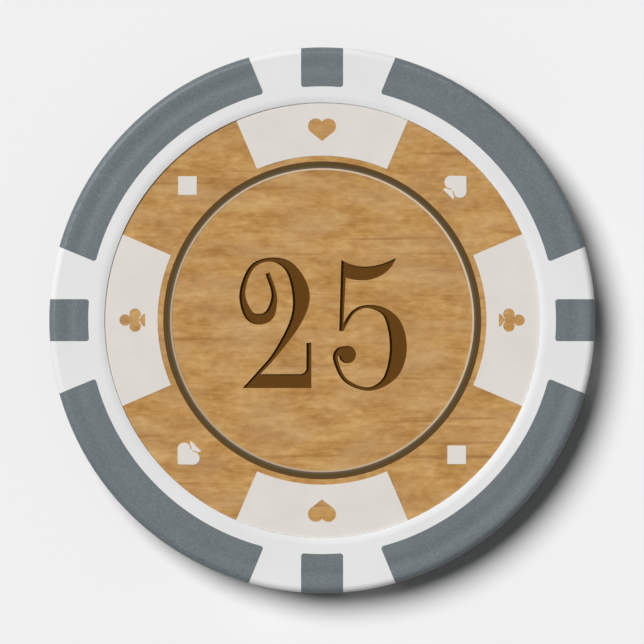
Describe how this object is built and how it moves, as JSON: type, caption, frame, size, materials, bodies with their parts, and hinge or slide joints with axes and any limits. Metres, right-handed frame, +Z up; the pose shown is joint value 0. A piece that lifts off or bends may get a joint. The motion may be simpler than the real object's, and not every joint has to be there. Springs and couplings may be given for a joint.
{
  "type": "poker chip",
  "caption": "Round two-colour poker chip with striped edge, recessed wood-effect label, cream suit panels and a pressed numeral on both faces.",
  "frame": {"origin": "middle of the bottom face, on the plane of the lower rim", "axes": "+Z up through the faces, +Y towards the top of the front numeral, +X to its right"},
  "size_m": [0.039, 0.039, 0.0033],
  "materials": {
    "body_white": "satin",
    "insert_grey": "satin",
    "slug_steel": "satin",
    "label_adhesive": "gloss",
    "inlay_wood": "matte",
    "ring_foil": "satin",
    "pinstripe_ink": "satin",
    "cream_film": "matte",
    "numeral_foil": "satin"
  },
  "bodies": {
    "root": {"body": "body_white", "steel_slug": "slug_steel", "long_insert_ne": "insert_grey", "long_insert_nw": "insert_grey", "long_insert_sw": "insert_grey", "long_insert_se": "insert_grey", "short_insert_e": "insert_grey", "short_insert_n": "insert_grey", "short_insert_w": "insert_grey", "short_insert_s": "insert_grey", "front_adhesive": "label_adhesive", "front_inlay": "inlay_wood", "front_ring": "ring_foil", "front_pinstripe": "pinstripe_ink", "front_spades": "cream_film", "front_diamonds": "cream_film", "front_two": "numeral_foil", "front_five": "numeral_foil", "front_panel_e": "cream_film", "front_panel_n": "cream_film", "front_panel_w": "cream_film", "front_panel_s": "cream_film", "back_adhesive": "label_adhesive", "back_inlay": "inlay_wood", "back_ring": "ring_foil", "back_pinstripe": "pinstripe_ink", "back_spades": "cream_film", "back_diamonds": "cream_film", "back_two": "numeral_foil", "back_five": "numeral_foil", "back_panel_e": "cream_film", "back_panel_n": "cream_film", "back_panel_w": "cream_film", "back_panel_s": "cream_film"}
  },
  "joints": []
}
